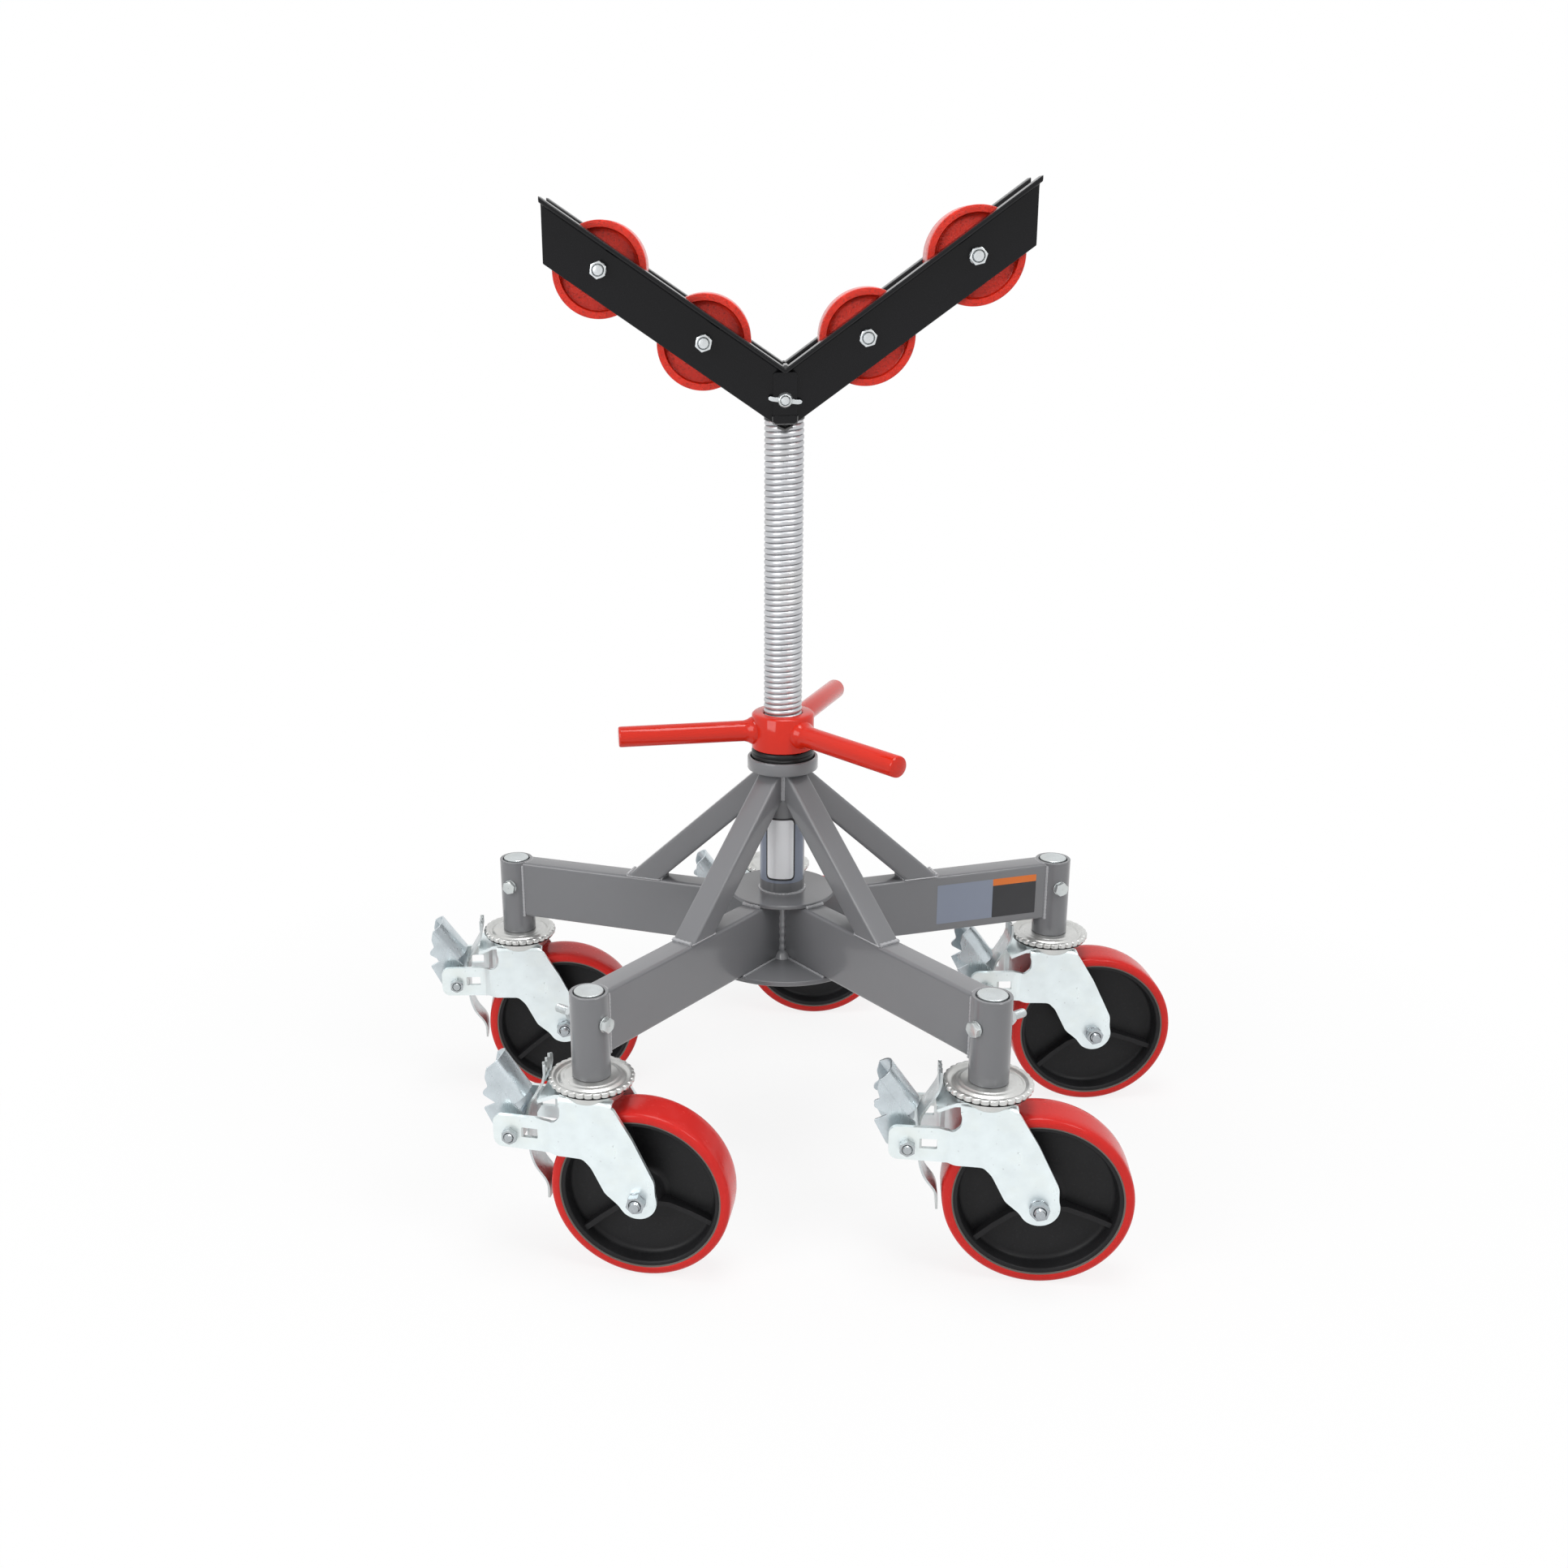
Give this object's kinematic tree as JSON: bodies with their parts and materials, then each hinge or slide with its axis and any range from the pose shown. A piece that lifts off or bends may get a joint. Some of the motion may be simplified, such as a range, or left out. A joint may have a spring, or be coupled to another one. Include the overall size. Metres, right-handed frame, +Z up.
{
  "type": "pipe jack stand",
  "caption": "Pipe jack stand with a V head of rollers on a hand-turned screw, over a welded star base on braked swivel casters.",
  "frame": {"origin": "on the floor, under the middle of the stand's box; the column's axis stands 18.2 mm towards -X and 28 mm towards -Y of it", "axes": "+Z up along the screw, +X along the V head to the viewer's right, -Y towards the viewer of the picture"},
  "size_m": [0.9736, 0.768, 1.1499],
  "materials": {
    "grey_paint": "satin grey paint",
    "red_paint": "gloss red paint",
    "black_paint": "satin black paint",
    "zinc": "bright zinc plate",
    "screw_zinc": "rolled zinc plated steel",
    "black_cast": "black painted casting",
    "red_tread": "polished polyurethane",
    "black_seal": "black shroud"
  },
  "bodies": {
    "frame": {"column_tube": "grey_paint", "upper_plate": "grey_paint", "lower_plate": "grey_paint", "top_collar": "grey_paint", "thrust_ring": "black_seal", "leg_right": "grey_paint", "brace_right": "grey_paint", "caster_stem_right": "zinc", "leg_back": "grey_paint", "brace_back": "grey_paint", "caster_stem_back": "zinc", "leg_left": "grey_paint", "brace_left": "grey_paint", "caster_stem_left": "zinc", "leg_front_left": "grey_paint", "brace_front_left": "grey_paint", "caster_stem_front_left": "zinc", "leg_front_right": "grey_paint", "brace_front_right": "grey_paint", "caster_stem_front_right": "zinc"},
    "handle": {"handle_nut": "red_paint"},
    "lift_screw": {"screw": "screw_zinc"},
    "head": {"v_plate_front": "black_paint", "v_plate_rear": "black_paint", "head_socket": "black_paint", "clamp_bolt": "zinc", "roller_axle_1": "zinc", "roller_axle_2": "zinc", "roller_axle_3": "zinc", "roller_axle_4": "zinc"},
    "wing_nut": {"wing_nut": "zinc"},
    "roller_1": {"roller_1": "red_paint"},
    "roller_2": {"roller_2": "red_paint"},
    "roller_3": {"roller_3": "red_paint"},
    "roller_4": {"roller_4": "red_paint"},
    "caster_right": {"fork_right": "zinc"},
    "wheel_right": {"wheel_hub_right": "black_cast", "tyre_right": "red_tread"},
    "pedal_right": {"brake_pedal_right": "zinc"},
    "strap_right": {"brake_strap_right": "zinc"},
    "caster_back": {"fork_back": "zinc"},
    "wheel_back": {"wheel_hub_back": "black_cast", "tyre_back": "red_tread"},
    "pedal_back": {"brake_pedal_back": "zinc"},
    "strap_back": {"brake_strap_back": "zinc"},
    "caster_left": {"fork_left": "zinc"},
    "wheel_left": {"wheel_hub_left": "black_cast", "tyre_left": "red_tread"},
    "pedal_left": {"brake_pedal_left": "zinc"},
    "strap_left": {"brake_strap_left": "zinc"},
    "caster_front_left": {"fork_front_left": "zinc"},
    "wheel_front_left": {"wheel_hub_front_left": "black_cast", "tyre_front_left": "red_tread"},
    "pedal_front_left": {"brake_pedal_front_left": "zinc"},
    "strap_front_left": {"brake_strap_front_left": "zinc"},
    "caster_front_right": {"fork_front_right": "zinc"},
    "wheel_front_right": {"wheel_hub_front_right": "black_cast", "tyre_front_right": "red_tread"},
    "pedal_front_right": {"brake_pedal_front_right": "zinc"},
    "strap_front_right": {"brake_strap_front_right": "zinc"}
  },
  "joints": [
    {"name": "handle_turn", "type": "hinge", "parent": "frame", "child": "handle", "pos_m": [-0.0182, -0.028, 0.5415], "axis": [0, 0, 1], "range_deg": [-2700, 17700]},
    {"name": "screw_lift", "type": "slide", "parent": "frame", "child": "lift_screw", "axis": [0, 0, 1], "range_m": [-0.325, 0.05]},
    {"name": "head_swivel", "type": "hinge", "parent": "lift_screw", "child": "head", "pos_m": [-0.0182, -0.028, 0.9237], "axis": [0, 0, 1], "continuous": true},
    {"name": "wing_nut_turn", "type": "hinge", "parent": "head", "child": "wing_nut", "pos_m": [-0.0182, -0.0693, 0.9291], "axis": [0, -1, 0], "continuous": true},
    {"name": "roller_1_spin", "type": "hinge", "parent": "head", "child": "roller_1", "pos_m": [-0.22044, -0.028, 1.07234], "axis": [0, 1, 0], "continuous": true},
    {"name": "roller_2_spin", "type": "hinge", "parent": "head", "child": "roller_2", "pos_m": [-0.10708, -0.028, 0.99208], "axis": [0, 1, 0], "continuous": true},
    {"name": "roller_3_spin", "type": "hinge", "parent": "head", "child": "roller_3", "pos_m": [0.07068, -0.028, 0.99208], "axis": [0, 1, 0], "continuous": true},
    {"name": "roller_4_spin", "type": "hinge", "parent": "head", "child": "roller_4", "pos_m": [0.18404, -0.028, 1.07234], "axis": [0, 1, 0], "continuous": true},
    {"name": "caster_right_swivel", "type": "hinge", "parent": "frame", "child": "caster_right", "pos_m": [0.32799, 0.08448, 0.222], "axis": [0, 0, 1], "continuous": true},
    {"name": "wheel_right_roll", "type": "hinge", "parent": "caster_right", "child": "wheel_right", "pos_m": [0.38384, 0.08849, 0.1016], "axis": [-0.0715, 0.9974, 0], "continuous": true},
    {"name": "pedal_right_press", "type": "hinge", "parent": "caster_right", "child": "pedal_right", "pos_m": [0.24319, 0.0784, 0.17005], "axis": [0.0715, -0.9974, 0], "range_deg": [0, 28]},
    {"name": "strap_right_slide", "type": "slide", "parent": "caster_right", "child": "strap_right", "axis": [0.9974, 0.0715, 0], "range_m": [0, 0.0012]},
    {"name": "caster_back_swivel", "type": "hinge", "parent": "frame", "child": "caster_back", "pos_m": [-0.0182, 0.336, 0.222], "axis": [0, 0, 1], "continuous": true},
    {"name": "wheel_back_roll", "type": "hinge", "parent": "caster_back", "child": "wheel_back", "pos_m": [0.03777, 0.33795, 0.1016], "axis": [-0.0349, 0.9994, 0], "continuous": true},
    {"name": "pedal_back_press", "type": "hinge", "parent": "caster_back", "child": "pedal_back", "pos_m": [-0.10316, 0.33303, 0.17005], "axis": [0.0349, -0.9994, 0], "range_deg": [0, 28]},
    {"name": "strap_back_slide", "type": "slide", "parent": "caster_back", "child": "strap_back", "axis": [0.9994, 0.0349, 0], "range_m": [0, 0.0012]},
    {"name": "caster_left_swivel", "type": "hinge", "parent": "frame", "child": "caster_left", "pos_m": [-0.36439, 0.08448, 0.222], "axis": [0, 0, 1], "continuous": true},
    {"name": "wheel_left_roll", "type": "hinge", "parent": "caster_left", "child": "wheel_left", "pos_m": [-0.3086, 0.08936, 0.1016], "axis": [-0.0872, 0.9962, 0], "continuous": true},
    {"name": "pedal_left_press", "type": "hinge", "parent": "caster_left", "child": "pedal_left", "pos_m": [-0.44907, 0.07707, 0.17005], "axis": [0.0872, -0.9962, 0], "range_deg": [0, 28]},
    {"name": "strap_left_slide", "type": "slide", "parent": "caster_left", "child": "strap_left", "axis": [0.9962, 0.0872, 0], "range_m": [0, 0.0012]},
    {"name": "caster_front_left_swivel", "type": "hinge", "parent": "frame", "child": "caster_front_left", "pos_m": [-0.23215, -0.32248, 0.222], "axis": [0, 0, 1], "continuous": true},
    {"name": "wheel_front_left_roll", "type": "hinge", "parent": "caster_front_left", "child": "wheel_front_left", "pos_m": [-0.17692, -0.33172, 0.1016], "axis": [0.165, 0.9863, 0], "continuous": true},
    {"name": "pedal_front_left_press", "type": "hinge", "parent": "caster_front_left", "child": "pedal_front_left", "pos_m": [-0.316, -0.30845, 0.17005], "axis": [-0.165, -0.9863, 0], "range_deg": [0, 28]},
    {"name": "strap_front_left_slide", "type": "slide", "parent": "caster_front_left", "child": "strap_front_left", "axis": [0.9863, -0.165, 0], "range_m": [0, 0.0012]},
    {"name": "caster_front_right_swivel", "type": "hinge", "parent": "frame", "child": "caster_front_right", "pos_m": [0.19575, -0.32248, 0.222], "axis": [0, 0, 1], "continuous": true},
    {"name": "wheel_front_right_roll", "type": "hinge", "parent": "caster_front_right", "child": "wheel_front_right", "pos_m": [0.25164, -0.326, 0.1016], "axis": [0.0628, 0.998, 0], "continuous": true},
    {"name": "pedal_front_right_press", "type": "hinge", "parent": "caster_front_right", "child": "pedal_front_right", "pos_m": [0.11091, -0.31714, 0.17005], "axis": [-0.0628, -0.998, 0], "range_deg": [0, 28]},
    {"name": "strap_front_right_slide", "type": "slide", "parent": "caster_front_right", "child": "strap_front_right", "axis": [0.998, -0.0628, 0], "range_m": [0, 0.0012]}
  ],
  "couplings": [
    {"joint": "screw_lift", "follows": "handle_turn", "m_per_rad": -0.0010504},
    {"joint": "strap_right_slide", "follows": "pedal_right_press", "m_per_rad": 0.0022509},
    {"joint": "strap_back_slide", "follows": "pedal_back_press", "m_per_rad": 0.0022509},
    {"joint": "strap_left_slide", "follows": "pedal_left_press", "m_per_rad": 0.0022509},
    {"joint": "strap_front_left_slide", "follows": "pedal_front_left_press", "m_per_rad": 0.0022509},
    {"joint": "strap_front_right_slide", "follows": "pedal_front_right_press", "m_per_rad": 0.0022509}
  ]
}
